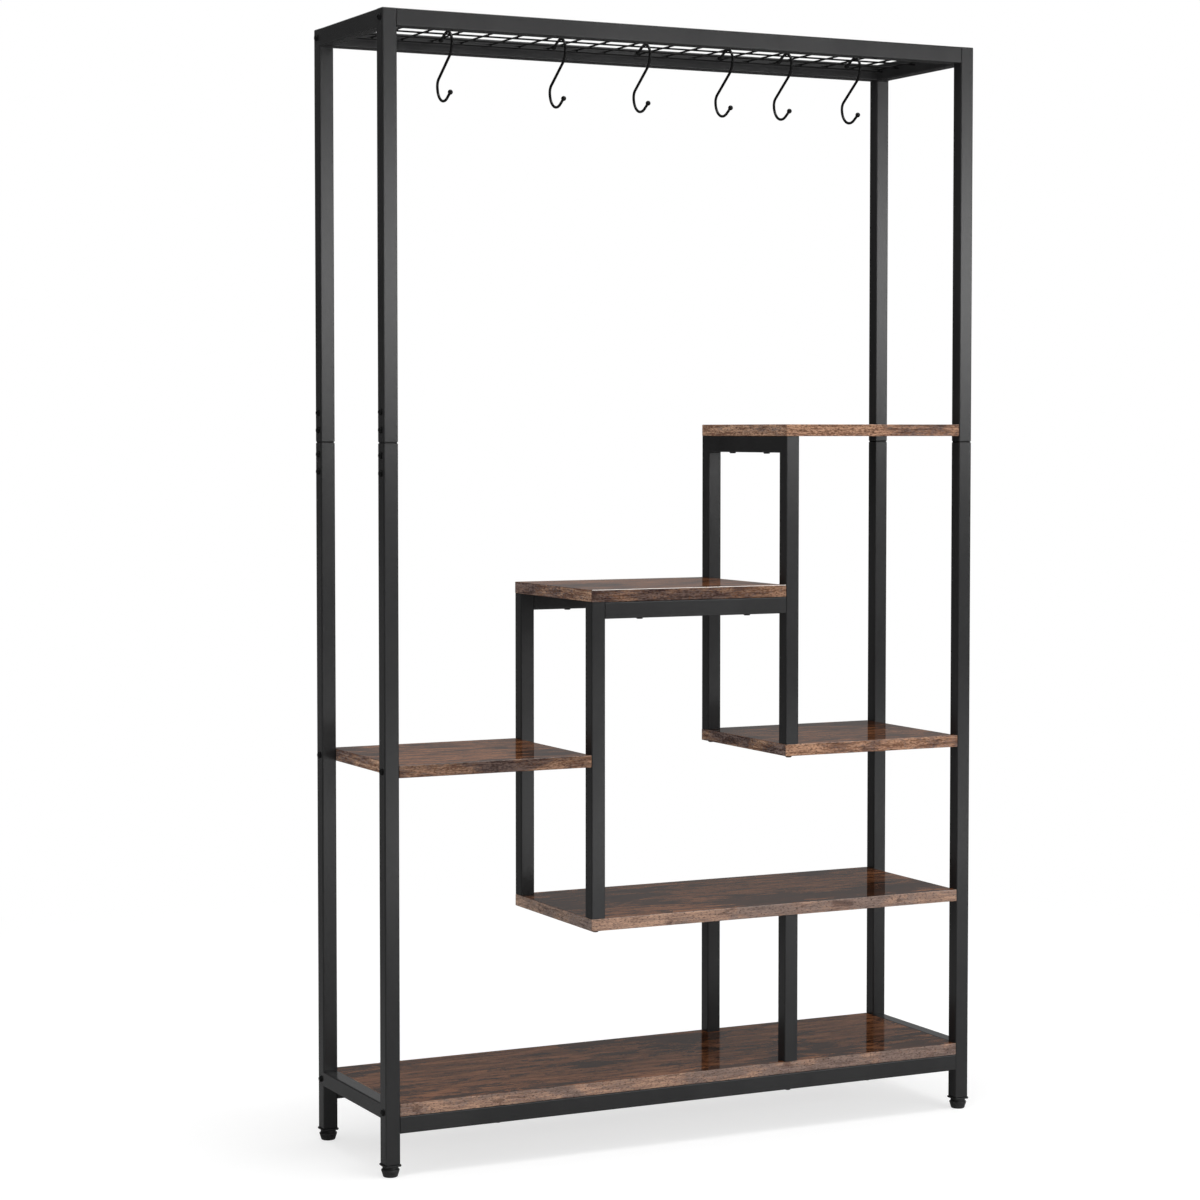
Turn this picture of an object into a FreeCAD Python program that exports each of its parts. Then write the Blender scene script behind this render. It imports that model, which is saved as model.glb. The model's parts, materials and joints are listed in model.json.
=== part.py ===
import FreeCAD, Part
import math
import os

import Sketcher
from FreeCAD import Rotation, Vector

# A tiered plant stand: four tube posts, six boards that climb like a stair, and a wire grid
# under the top rails from which six S hooks hang.
# X runs along the width, Y from the front (-) to the rear (+), Z up from the floor.
# The origin is on the floor, under the middle of the stand.

# Driving sizes, in millimetres, degrees where the name says so, and counts
sizes = {
    "overall_width": 1100,
    "overall_depth": 300,
    "overall_height": 1850,
    "tube_width": 25,
    "tube_wall": 1.2,
    "tube_bore_corner": 1,
    "tube_end_ease": 0.4,
    "post_end_ease": 0.9,
    "rail_height": 28,
    "board_thickness": 20,
    "board_edge": 0.8,
    "first_shelf_top": 117.5,
    "shelf_pitch": 270.5,
    "left_board_length": 339.5,
    "right_board_length": 345,
    "fit_gap": 0.1,
    "hole_gap": 0.05,
    "seat_gap": 0.3,
    "bolt_diameter": 6,
    "bolt_head_diameter": 10.6,
    "bolt_head_height": 3.3,
    "bolt_bite": 12,
    "bolt_socket_width": 4,
    "joint_gap": 1.6,
    "joint_bolt_near": 20,
    "joint_bolt_far": 48.5,
    "joint_bolt_length": 10,
    "sleeve_wall": 1.8,
    "sleeve_bore_corner": 0.6,
    "sleeve_end_margin": 20,
    "insert_diameter": 9,
    "insert_length": 18,
    "end_plug_length": 14,
    "screw_diameter": 4,
    "screw_head_diameter": 11,
    "screw_head_height": 2.2,
    "screw_bite": 12,
    "step_screw_inset": 69,
    "bottom_screw_inset": 175,
    "riser_screw_inset": 65,
    "peg_diameter": 8,
    "peg_height": 10,
    "cap_thickness": 8,
    "socket_length": 25,
    "flange_lip": 1.9,
    "flange_thickness": 2.7,
    "pad_diameter": 29.5,
    "pad_base_diameter": 23,
    "pad_height": 12,
    "pad_rim_height": 1.6,
    "pad_collar_diameter": 25.5,
    "pad_collar_height": 5,
    "stud_diameter": 8,
    "stud_length": 38,
    "stud_grip": 8,
    "grid_wire_diameter": 3,
    "grid_drop": 12.5,
    "grid_middle_bay": 67,
    "grid_end_gap": 8.2,
    "grid_side_gap": 17,
    "hook_wire_diameter": 4.6,
    "hook_tip_diameter": 8.5,
    "hook_span": 111.3,
    "hook_upper_radius": 18.5,
    "hook_lower_radius": 27,
    "hook_upper_bend": 28,
    "hook_lower_bend": 14,
    "hook_lower_offset": 15.3,
    "hook_upper_tip_length": 21,
    "hook_lower_tip_length": 14.6,
    "hook_upper_flare_degrees": 25,
    "hook_lower_flare_degrees": 32,
}

# Counts: the grid's cross wires on each side of the middle bay, and its long wires on each side
# of the middle one
cross_wires_each_side = 10
long_wires_each_side = 2

# Shares of the size that each follows
bottom_bolt_share = 0.3
head_round_share = 0.65
head_socket_share = 0.6
tip_chamfer_share = 0.25
flange_round_share = 0.3
pad_round_share = 0.1

# Each hook hangs in one bay of the grid, counted from the middle bay, at a share of its width
hook_bays = (-7, -3, 0, 3, 5, 7)
hook_bay_shares = (0.65, 0.47, 0.33, 0.12, 0.28, 0.85)

doc = FreeCAD.newDocument("plant_stand")
sheet = doc.addObject("Spreadsheet::Sheet", "Sizes")
for row, (alias, number) in enumerate(sizes.items(), start=1):
    sheet.set(f"A{row}", alias)
    sheet.set(f"B{row}", str(number))
    sheet.setAlias(f"B{row}", alias)
doc.recompute()


# A size worked out from the sheet, kept as the text that the document's expressions use
class Size:
    def __init__(self, text):
        self.text = str(text)

    def __add__(self, other):
        return Size(f"({self.text} + {words(other)})")

    def __radd__(self, other):
        return Size(f"({words(other)} + {self.text})")

    def __sub__(self, other):
        return Size(f"({self.text} - {words(other)})")

    def __rsub__(self, other):
        return Size(f"({words(other)} - {self.text})")

    def __mul__(self, other):
        return Size(f"({self.text} * {words(other)})")

    def __rmul__(self, other):
        return Size(f"({words(other)} * {self.text})")

    def __truediv__(self, other):
        return Size(f"({self.text} / {words(other)})")

    def __neg__(self):
        return Size(f"(0 - {self.text})")

    @property
    def value(self):
        return float(sheet.evalExpression(self.text))


def words(term):
    return term.text if isinstance(term, Size) else repr(term)


def number(term):
    return term.value if isinstance(term, Size) else float(term)


def named(alias):
    return Size(f"Sizes.{alias}")


def bind(item, terms):
    for name, term in terms.items():
        item.setExpression(name, words(term))


def place(item, at, rotation=Rotation()):
    item.Placement = FreeCAD.Placement(Vector(*[number(term) for term in at]), rotation)
    bind(item, {f"Placement.Base.{axis}": term for axis, term in zip("xyz", at)})


# Sizes that follow from the driving ones
tube = named("tube_width")
wall = named("tube_wall")
corner = named("tube_bore_corner") + wall
rail_height = named("rail_height")
board = named("board_thickness")
height = named("overall_height")
half_width = named("overall_width") / 2
half_depth = named("overall_depth") / 2
inner_half = half_width - tube
inner_depth = half_depth - tube
post_line = half_width - tube / 2
row_line = half_depth - tube / 2
fit_gap = named("fit_gap")
hole_gap = named("hole_gap")
bore = tube - wall * 2
plug_width = bore - fit_gap * 2
plug_corner = named("tube_bore_corner") - fit_gap
collar_top = named("pad_height") + named("pad_collar_height")
foot_top = collar_top + named("seat_gap") + named("flange_thickness")
bolt_hole = named("bolt_diameter") / 2 + hole_gap
screw_hole = named("screw_diameter") / 2 + hole_gap


def shelf_top(level):
    return named("first_shelf_top") + named("shelf_pitch") * level


def shelf_middle(level):
    return shelf_top(level) - board / 2


# Left faces of the step posts and of the riser posts
step_face = named("left_board_length") - inner_half
riser_face = inner_half - named("right_board_length")
step_line = step_face + tube / 2
riser_line = riser_face + tube / 2

# The joint between lower and upper posts: its near bolts line up with the top board's end
joint_height = shelf_middle(4) - named("joint_bolt_near")
half_joint_gap = named("joint_gap") / 2
bottom_bolt_height = shelf_top(0) - board * (1 - bottom_bolt_share)
top_rail_middle = height - rail_height / 2
step_rail_top = shelf_top(3) - board
step_rail_middle = step_rail_top - rail_height / 2
bottom_rail_top = shelf_top(0) - board
grid_height = height - named("grid_drop")
long_wire_height = grid_height - named("grid_wire_diameter") / 2
cross_wire_height = grid_height + named("grid_wire_diameter") / 2
sleeve_half = named("joint_bolt_far") + named("sleeve_end_margin")

# Directions: each turn takes a piece drawn along its own Z axis to the named direction
up = Rotation()
along_x = Rotation(Vector(0, 1, 0), Vector(0, 0, 1), Vector(1, 0, 0), "ZXY")
back_along_x = Rotation(Vector(0, -1, 0), Vector(0, 0, 1), Vector(-1, 0, 0), "ZXY")
along_y = Rotation(Vector(-1, 0, 0), Vector(0, 0, 1), Vector(0, 1, 0), "ZXY")
half_turn = Rotation(Vector(0, 0, 1), 180)

parts = {}
drills = {}


def keep(label, item):
    item.Label = label
    parts[label] = item


def origin_plane(body, role):
    return next(item for item in body.Origin.OriginFeatures if item.Role == role)


def new_sketch(body, name, role):
    sketch = body.newObject("Sketcher::SketchObject", name)
    sketch.AttachmentSupport = (origin_plane(body, role), [""])
    sketch.MapMode = "FlatFace"
    return sketch


def rename(sketch, index, name, term):
    sketch.renameConstraint(index, name)
    sketch.setExpression(f"Constraints.{name}", words(term))


# A rounded rectangle about the sketch's origin, drawn corner by corner
def rounded_rectangle(sketch, name, wide, high, radius):
    half_wide = number(wide) / 2
    half_high = number(high) / 2
    round_off = number(radius)
    first = sketch.GeometryCount
    corners = ((1, 1), (-1, 1), (-1, -1), (1, -1))
    for turn, (sign_x, sign_y) in enumerate(corners):
        centre = Vector(sign_x * (half_wide - round_off), sign_y * (half_high - round_off), 0)
        circle = Part.Circle(centre, Vector(0, 0, 1), round_off)
        start = turn * math.pi / 2
        sketch.addGeometry(Part.ArcOfCircle(circle, start, start + math.pi / 2), False)
    for turn in range(4):
        leave = sketch.Geometry[first + turn].EndPoint
        arrive = sketch.Geometry[first + (turn + 1) % 4].StartPoint
        sketch.addGeometry(Part.LineSegment(leave, arrive), False)
    for turn in range(4):
        side = first + 4 + turn
        following = first + (turn + 1) % 4
        sketch.addConstraint(Sketcher.Constraint("Tangent", first + turn, 2, side, 1))
        sketch.addConstraint(Sketcher.Constraint("Tangent", side, 2, following, 1))
        direction = "Horizontal" if turn % 2 == 0 else "Vertical"
        sketch.addConstraint(Sketcher.Constraint(direction, side))
    for turn in range(1, 4):
        sketch.addConstraint(Sketcher.Constraint("Equal", first, first + turn))
    sketch.addConstraint(Sketcher.Constraint("Symmetric", first, 3, first + 2, 3, -1, 1))
    index = sketch.addConstraint(Sketcher.Constraint("Radius", first, round_off))
    rename(sketch, index, f"{name}_radius", radius)
    index = sketch.addConstraint(
        Sketcher.Constraint("DistanceX", first + 5, 1, first + 7, 1, half_wide * 2))
    rename(sketch, index, f"{name}_wide", wide)
    index = sketch.addConstraint(
        Sketcher.Constraint("DistanceY", first + 6, 1, first + 4, 1, half_high * 2))
    rename(sketch, index, f"{name}_high", high)


# A closed outline of straight sides through points given as pairs of sizes
def polygon(sketch, points):
    ends = [Vector(number(across), number(along), 0) for across, along in points]
    count = len(points)
    for place_in_line in range(count):
        line = Part.LineSegment(ends[place_in_line], ends[(place_in_line + 1) % count])
        sketch.addGeometry(line, False)
    for place_in_line in range(count):
        following = (place_in_line + 1) % count
        sketch.addConstraint(Sketcher.Constraint("Coincident", place_in_line, 2, following, 1))
    for place_in_line, point in enumerate(points):
        for kind, axis, term in (("DistanceX", -2, point[0]), ("DistanceY", -1, point[1])):
            if not isinstance(term, Size):
                sketch.addConstraint(Sketcher.Constraint("PointOnObject", place_in_line, 1, axis))
                continue
            index = sketch.addConstraint(
                Sketcher.Constraint(kind, -1, 1, place_in_line, 1, number(term)))
            rename(sketch, index, f"{kind}_{place_in_line}", term)


# Names of a feature's edges that lie flat at one height
def edges_at_height(feature, height):
    names = []
    for count, edge in enumerate(feature.Shape.Edges, start=1):
        box = edge.BoundBox
        if abs(box.ZMin - height) < number(hole_gap) and box.ZLength < number(hole_gap):
            names.append(f"Edge{count}")
    return names


def dress(body, kind, base, edge_names, size_name, term):
    doc.recompute()
    feature = body.newObject(f"PartDesign::{kind}", f"{kind}_of_{body.Name}")
    feature.Base = (base, edge_names)
    setattr(feature, size_name, number(term))
    bind(feature, {size_name: term})
    return feature


def padded(body, sketch, length, name="Pad"):
    pad = body.newObject("PartDesign::Pad", name)
    pad.Profile = sketch
    pad.Length = number(length)
    bind(pad, {"Length": length})
    return pad


# A tube or a solid bar of square section, drawn from its own origin along Z
def bar(name, wide, high, length, radius, thickness=None, inner_radius=None):
    body = doc.addObject("PartDesign::Body", name)
    sketch = new_sketch(body, "section", "XY_Plane")
    rounded_rectangle(sketch, "outer", wide, high, radius)
    if thickness is not None:
        rounded_rectangle(sketch, "inner", wide - thickness * 2, high - thickness * 2,
                          inner_radius or named("tube_bore_corner"))
    padded(body, sketch, length)
    return body


# A length of the frame's tube, with the outer edges of its ends eased, as they show at each joint
def frame_tube(name, high, length, ease="tube_end_ease"):
    body = bar(name, tube, high, length, corner, wall)
    doc.recompute()
    solid = body.Tip
    reach = number(tube) / 2 - number(hole_gap)
    side = number(high) / 2 - number(hole_gap)
    names = []
    for end in (0, number(length)):
        for label in edges_at_height(solid, end):
            box = solid.Shape.getElement(label).BoundBox
            if max(box.XMax, -box.XMin) > reach or max(box.YMax, -box.YMin) > side:
                names.append(label)
    dress(body, "Chamfer", solid, names, "Size", named(ease))
    return body


# A turned piece: an outline in the XZ plane, spun about Z
def turned(name, points):
    body = doc.addObject("PartDesign::Body", name)
    sketch = new_sketch(body, "outline", "XZ_Plane")
    polygon(sketch, points)
    spin = body.newObject("PartDesign::Revolution", "Spin")
    spin.Profile = sketch
    spin.ReferenceAxis = (sketch, ["V_Axis"])
    spin.Angle = 360
    return body, spin


def cylinder(name, radius, length, at, rotation=up):
    item = doc.addObject("Part::Cylinder", name)
    bind(item, {"Radius": radius, "Height": length})
    place(item, at, rotation)
    return item


# One drill for all the pieces that it goes through
def drill(labels, radius, length, at, rotation):
    tool = cylinder("drill", radius, length, at, rotation)
    for label in labels:
        drills.setdefault(label, []).append(tool)


def cut_drilled(label, base):
    tools = drills.get(label, [])
    if not tools:
        keep(label, base)
        return
    group = doc.addObject("Part::Compound", "drills")
    group.Links = tools
    piece = doc.addObject("Part::Cut", "drilled")
    piece.Base = base
    piece.Tool = group
    keep(label, piece)


# Copies of one piece at several places, as a group of separate solids
def group_of(label, original, spots):
    links = []
    for at, rotation in spots:
        link = doc.addObject("App::Link", "copy")
        link.LinkedObject = original
        link.LinkTransform = False
        place(link, at, rotation)
        links.append(link)
    group = doc.addObject("Part::Compound", "group")
    group.Links = links
    keep(label, group)


# A round wire along a path sketch, from the start of the path's first edge
def swept_wire(body, path, radius):
    profile = body.newObject("Sketcher::SketchObject", "profile")
    profile.AttachmentSupport = (path, ["Edge1"])
    profile.MapMode = "NormalToEdge"
    profile.MapPathParameter = 0
    profile.addGeometry(Part.Circle(Vector(), Vector(0, 0, 1), number(radius)), False)
    profile.addConstraint(Sketcher.Constraint("Coincident", 0, 3, -1, 1))
    index = profile.addConstraint(Sketcher.Constraint("Radius", 0, number(radius)))
    rename(profile, index, "wire_radius", radius)
    doc.recompute()
    pipe = body.newObject("PartDesign::AdditivePipe", "Pipe")
    pipe.Profile = profile
    pipe.Spine = (path, [])
    doc.recompute()


# A button head bolt with a hexagon socket: its head starts at its own origin, its shank runs along Z
def button_bolt(name, length):
    shank = named("bolt_diameter") / 2
    head_radius = named("bolt_head_diameter") / 2
    head = named("bolt_head_height")
    chamfer = shank * tip_chamfer_share
    body, spin = turned(name, [
        (0, 0),
        (head_radius, 0),
        (head_radius, head),
        (shank, head),
        (shank, head + length - chamfer),
        (shank - chamfer, head + length),
        (0, head + length),
    ])
    doc.recompute()
    dress(body, "Fillet", spin, edges_at_height(spin, 0), "Radius", head * head_round_share)
    tool = doc.addObject("Part::Prism", "hexagon")
    tool.Polygon = 6
    bind(tool, {"Circumradius": named("bolt_socket_width") / math.sqrt(3),
                "Height": head * head_socket_share})
    piece = doc.addObject("Part::Cut", name)
    piece.Base = body
    piece.Tool = tool
    return piece


# A pan head screw drawn the same way
def pan_screw(name, length):
    shank = named("screw_diameter") / 2
    head_radius = named("screw_head_diameter") / 2
    head = named("screw_head_height")
    body, spin = turned(name, [
        (0, 0),
        (head_radius, 0),
        (head_radius, head),
        (shank, head),
        (shank, head + length - shank),
        (0, head + length),
    ])
    doc.recompute()
    dress(body, "Fillet", spin, edges_at_height(spin, 0), "Radius", head * head_round_share)
    return body


# A threaded bush drawn from its own origin along Z
def bush(name, radius, hole, length):
    body, _ = turned(name, [(hole, 0), (radius, 0), (radius, length), (hole, length)])
    return body


# A plug for the end of a tube, with a threaded hole along its middle
def end_plug(name, high, length):
    outer = bar(name, plug_width, high, length, plug_corner)
    hole = cylinder("thread", bolt_hole, length, (0, 0, 0))
    piece = doc.addObject("Part::Cut", name)
    piece.Base = outer
    piece.Tool = hole
    return piece


head = named("bolt_head_height")
insert_radius = named("insert_diameter") / 2
spots = {}


def spot(group, at, rotation):
    spots.setdefault(group, []).append((at, rotation))


# A bolt through a post, from the face at x, into an insert in a board's end
def board_bolt(post_labels, board_label, face, way, line, lift):
    turn = along_x if way > 0 else back_along_x
    drill(post_labels, bolt_hole, tube, (face, line, lift), turn)
    drill([board_label], insert_radius, named("insert_length"), (face + tube * way, line, lift), turn)
    spot("board_bolts", (face - head * way, line, lift), turn)
    spot("board_inserts", (face + tube * way, line, lift), turn)


# A bolt through a post, from the face at x, into the plug in a rail's end
def rail_bolt(post_label, face, way, line, lift):
    turn = along_x if way > 0 else back_along_x
    drill([post_label], bolt_hole, tube, (face, line, lift), turn)
    spot("rail_bolts", (face - head * way, line, lift), turn)
    spot("rail_plugs", (face + tube * way, line, lift), turn)


# A pan head screw up through a rail into the board above it
def board_screw(rail_label, board_label, x, line, rail_bottom):
    start = (x, line, rail_bottom)
    drill([rail_label, board_label], screw_hole, rail_height + named("screw_bite"), start, up)
    spot("board_screws", (x, line, rail_bottom - named("screw_head_height")), up)


# Outer posts, their joints and the bolts that reach through them
sides = (("left", -1), ("right", 1))
ends = (("front", -1), ("rear", 1))
for side, way in sides:
    inward = along_x if way < 0 else back_along_x
    face = half_width * way
    for end, row in ends:
        lower = f"{side}_{end}_lower_post"
        upper = f"{side}_{end}_upper_post"
        line = row_line * row
        for post, step in ((lower, -1), (upper, 1)):
            for rise in ("joint_bolt_near", "joint_bolt_far"):
                lift = joint_height + named(rise) * step
                if side == "right" and rise == "joint_bolt_near" and post == upper:
                    board_bolt([post], "top_board", face, -way, line, lift)
                    continue
                drill([post], bolt_hole, named("joint_bolt_length"), (face, line, lift), inward)
                spot("joint_bolts", (face + head * way, line, lift), inward)
        board_bolt([lower], "bottom_board", face, -way, line, bottom_bolt_height)
        rail_bolt(upper, face, -way, line, top_rail_middle)
        if side == "left":
            board_bolt([lower], "left_board", face, -way, line, shelf_middle(2))
        else:
            board_bolt([lower], "low_board", face, -way, line, shelf_middle(1))
            board_bolt([lower], "right_board", face, -way, line, shelf_middle(2))

        body = frame_tube("post", tube, joint_height - half_joint_gap - foot_top, "post_end_ease")
        place(body, (post_line * way, line, foot_top))
        cut_drilled(lower, body)
        body = frame_tube("post", tube, height - joint_height - half_joint_gap, "post_end_ease")
        place(body, (post_line * way, line, joint_height + half_joint_gap))
        cut_drilled(upper, body)
        spot("post_sleeves", (post_line * way, line, joint_height - sleeve_half),
             up if way < 0 else half_turn)
        spot("post_caps", (post_line * way, line, height - named("cap_thickness")), up)
        spot("foot_sockets", (post_line * way, line, collar_top + named("seat_gap")), up)

# Sleeves inside the joints, all alike: the upper near hole goes right through
outer = bar("sleeve_tube", plug_width, plug_width, sleeve_half * 2, plug_corner,
            named("sleeve_wall"), named("sleeve_bore_corner"))
holes = []
for step, rise in ((-1, "joint_bolt_far"), (-1, "joint_bolt_near"), (1, "joint_bolt_near"),
                   (1, "joint_bolt_far")):
    through = step > 0 and rise == "joint_bolt_near"
    length = plug_width if through else plug_width / 2
    lift = sleeve_half + named(rise) * step
    holes.append(cylinder("hole", bolt_hole, length, (-plug_width / 2, 0, lift), along_x))
hole_group = doc.addObject("Part::Compound", "holes")
hole_group.Links = holes
sleeve = doc.addObject("Part::Cut", "sleeve")
sleeve.Base = outer
sleeve.Tool = hole_group
group_of("post_sleeves", sleeve, spots["post_sleeves"])

cap = bar("cap", plug_width, plug_width, named("cap_thickness"), plug_corner)
group_of("post_caps", cap, spots["post_caps"])

# Side rails between the front and rear posts
for side, way in sides:
    body = frame_tube("side_rail", tube, inner_depth * 2)
    place(body, (post_line * way, -inner_depth, shelf_top(0) - tube / 2), along_y)
    keep(f"{side}_lower_side_rail", body)
    body = frame_tube("side_rail", rail_height, inner_depth * 2)
    place(body, (post_line * way, -inner_depth, top_rail_middle), along_y)
    keep(f"{side}_upper_side_rail", body)

# Long rails between the left and right posts, with the screws that hold the bottom board
for end, row in ends:
    line = row_line * row
    for way in (-1, 1):
        board_screw(f"bottom_{end}_rail", "bottom_board",
                    (inner_half - named("bottom_screw_inset")) * way, line,
                    bottom_rail_top - rail_height)
    drill([f"bottom_{end}_rail", "bottom_board"], bolt_hole, rail_height + board,
          (riser_line, line, bottom_rail_top - rail_height), up)
    spot("support_bolts", (riser_line, line, bottom_rail_top - rail_height - head), up)
    for level, lift in (("top", top_rail_middle), ("bottom", bottom_rail_top - rail_height / 2)):
        body = frame_tube("rail", rail_height, inner_half * 2)
        place(body, (-inner_half, line, lift), along_x)
        cut_drilled(f"{level}_{end}_rail", body)

# Step frame: a post on the low board and a rail from it to the riser post, front and rear
for end, row in ends:
    line = row_line * row
    post = f"step_{end}_post"
    rail = f"step_{end}_rail"
    board_bolt([post], "left_board", step_face + tube, -1, line, shelf_middle(2))
    body = frame_tube("post", tube, step_rail_top - shelf_top(1))
    place(body, (step_line, line, shelf_top(1)))
    cut_drilled(post, body)
    rail_length = riser_face - step_face - tube
    for x in (step_face + tube + named("step_screw_inset"), riser_face - named("step_screw_inset")):
        board_screw(rail, "step_board", x, line, step_rail_top - rail_height)
    body = frame_tube("rail", rail_height, rail_length)
    place(body, (step_face + tube, line, step_rail_middle), along_x)
    cut_drilled(rail, body)

# Riser frame: two posts on the right board, joined at the top under the top board
riser_top = shelf_top(4) - board
for end, row in ends:
    line = row_line * row
    post = f"riser_{end}_post"
    rail_bolt(post, riser_face + tube, -1, line, step_rail_middle)
    body = frame_tube("post", tube, riser_top - shelf_top(2))
    place(body, (riser_line, line, shelf_top(2)))
    cut_drilled(post, body)
for way in (-1, 1):
    board_screw("riser_top_rail", "top_board", riser_line,
                (inner_depth - named("riser_screw_inset")) * way, riser_top - rail_height)
body = frame_tube("rail", rail_height, inner_depth * 2)
place(body, (riser_line, -inner_depth, riser_top - rail_height / 2), along_y)
cut_drilled("riser_top_rail", body)

# Support posts between the bottom board and the low board, with pegs into the low board
for end, row in ends:
    line = row_line * row
    body = frame_tube("post", tube, shelf_top(1) - board - shelf_top(0))
    place(body, (riser_line, line, shelf_top(0)))
    keep(f"support_{end}_post", body)
    drill(["low_board"], named("peg_diameter") / 2 + hole_gap, named("peg_height"),
          (riser_line, line, shelf_top(1) - board), up)
    spot("support_pegs", (riser_line, line, shelf_top(1) - board - named("end_plug_length")), up)

# Bolts up through the boards into the plugs at the feet of the step, riser and support posts
for x, label, lift in ((step_line, "low_board", shelf_top(1)), (riser_line, "right_board", shelf_top(2))):
    for end, row in ends:
        line = row_line * row
        drill([label], bolt_hole, board, (x, line, lift - board), up)
        spot("post_bolts", (x, line, lift - board - head), up)
        spot("post_plugs", (x, line, lift), up)
for end, row in ends:
    spot("post_plugs", (riser_line, row_line * row, shelf_top(0)), up)

# Boards, each with its left end, its length and the level of its top
boards = (
    ("bottom_board", -inner_half, inner_half * 2, 0),
    ("low_board", step_face, inner_half - step_face, 1),
    ("left_board", -inner_half, named("left_board_length"), 2),
    ("right_board", riser_face, named("right_board_length"), 2),
    ("step_board", step_face, riser_face - step_face, 3),
    ("top_board", riser_face, named("right_board_length"), 4),
)
for label, left_end, length, level in boards:
    box = doc.addObject("Part::Box", "board")
    bind(box, {"Length": length, "Width": half_depth * 2, "Height": board})
    place(box, (left_end, -half_depth, shelf_top(level) - board))
    doc.recompute()
    edge = named("board_edge")
    eased = doc.addObject("Part::Chamfer", "eased_board")
    eased.Base = box
    eased.Edges = [(count, number(edge), number(edge)) for count in range(1, 13)]
    cut_drilled(label, eased)

# Fasteners and plugs, each kind as a group of separate pieces
group_of("joint_bolts", button_bolt("joint_bolt", named("joint_bolt_length")), spots["joint_bolts"])
long_bolt = button_bolt("long_bolt", tube + named("bolt_bite"))
group_of("board_bolts", long_bolt, spots["board_bolts"])
group_of("rail_bolts", long_bolt, spots["rail_bolts"])
post_bolt = button_bolt("post_bolt", board + named("bolt_bite"))
group_of("post_bolts", post_bolt, spots["post_bolts"])
support_bolt = button_bolt("support_bolt", rail_height + board + named("bolt_bite"))
group_of("support_bolts", support_bolt, spots["support_bolts"])
screw = pan_screw("board_screw", rail_height + named("screw_bite"))
group_of("board_screws", screw, spots["board_screws"])
insert = bush("board_insert", insert_radius, bolt_hole, named("insert_length"))
group_of("board_inserts", insert, spots["board_inserts"])
plug_length = named("end_plug_length")
group_of("rail_plugs", end_plug("rail_plug", rail_height - wall * 2 - fit_gap * 2, plug_length),
         spots["rail_plugs"])
group_of("post_plugs", end_plug("post_plug", plug_width, plug_length), spots["post_plugs"])

plug = bar("peg_plug", plug_width, plug_width, plug_length, plug_corner)
pin = cylinder("pin", named("peg_diameter") / 2, plug_length + named("peg_height"), (0, 0, 0))
peg = doc.addObject("Part::Fuse", "peg")
peg.Base = plug
peg.Tool = pin
group_of("support_pegs", peg, spots["support_pegs"])

# Foot sockets: a square plug in the tube with a flange under its end, bored for the stud
stud_radius = named("stud_diameter") / 2
flange = named("flange_thickness")
flange_width = tube + named("flange_lip") * 2
flange_bar = bar("flange", flange_width, flange_width, flange, corner + named("flange_lip"))
plug = bar("socket_plug", plug_width, plug_width, named("socket_length"), plug_corner)
place(plug, (0, 0, flange))
flange_round = doc.addObject("Part::Fillet", "flange_round")
doc.recompute()
flange_round.Base = flange_bar
under = [int(name[len("Edge"):]) for name in edges_at_height(flange_bar, 0)]
rounding = flange * flange_round_share
flange_round.Edges = [(count, number(rounding), number(rounding)) for count in under]
joined = doc.addObject("Part::Fuse", "socket_solid")
joined.Base = flange_round
joined.Tool = plug
stud_bore = cylinder("stud_bore", stud_radius + hole_gap, flange + named("socket_length"), (0, 0, 0))
socket = doc.addObject("Part::Cut", "socket")
socket.Base = joined
socket.Tool = stud_bore
group_of("foot_sockets", socket, spots["foot_sockets"])

# Levelling feet: a tapered pad moulded round the foot of a stud, one pair under each post
for side, way in sides:
    for end, row in ends:
        at = (post_line * way, row_line * row)
        pad_height = named("pad_height")
        rim = pad_height - named("pad_rim_height")
        body, spin = turned("pad", [
            (0, 0),
            (named("pad_base_diameter") / 2, 0),
            (named("pad_diameter") / 2, rim),
            (named("pad_diameter") / 2, pad_height),
            (named("pad_collar_diameter") / 2, pad_height),
            (named("pad_collar_diameter") / 2, collar_top),
            (stud_radius, collar_top),
            (stud_radius, collar_top - named("stud_grip")),
            (0, collar_top - named("stud_grip")),
        ])
        doc.recompute()
        dress(body, "Fillet", spin, edges_at_height(spin, 0), "Radius", pad_height * pad_round_share)
        place(body, at + (0,))
        keep(f"{side}_{end}_foot_pad", body)

        tip = stud_radius * tip_chamfer_share
        body, _ = turned("stud", [
            (0, 0),
            (stud_radius, 0),
            (stud_radius, named("stud_length") - tip),
            (stud_radius - tip, named("stud_length")),
            (0, named("stud_length")),
        ])
        place(body, at + (collar_top - named("stud_grip"),))
        keep(f"{side}_{end}_foot_stud", body)

# Wire grid: cross wires from front to rear on top of long wires from left to right, each a
# separate piece that meets the others where they are welded
wire_radius = named("grid_wire_diameter") / 2
middle_bay = named("grid_middle_bay")
cross_pitch = (inner_half - middle_bay / 2 - named("grid_end_gap")) / (cross_wires_each_side - 1)
long_pitch = (inner_depth - named("grid_side_gap")) / long_wires_each_side
wires = []
for way in (-1, 1):
    for count in range(cross_wires_each_side):
        x = (middle_bay / 2 + cross_pitch * count) * way
        at = (x, -inner_depth, cross_wire_height)
        wires.append(cylinder("cross_wire", wire_radius, inner_depth * 2, at, along_y))
for count in range(-long_wires_each_side, long_wires_each_side + 1):
    at = (-inner_half, long_pitch * count, long_wire_height)
    wires.append(cylinder("long_wire", wire_radius, inner_half * 2, at, along_x))
grid = doc.addObject("Part::Compound", "grid")
grid.Links = wires
keep("top_wire_grid", grid)


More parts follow.
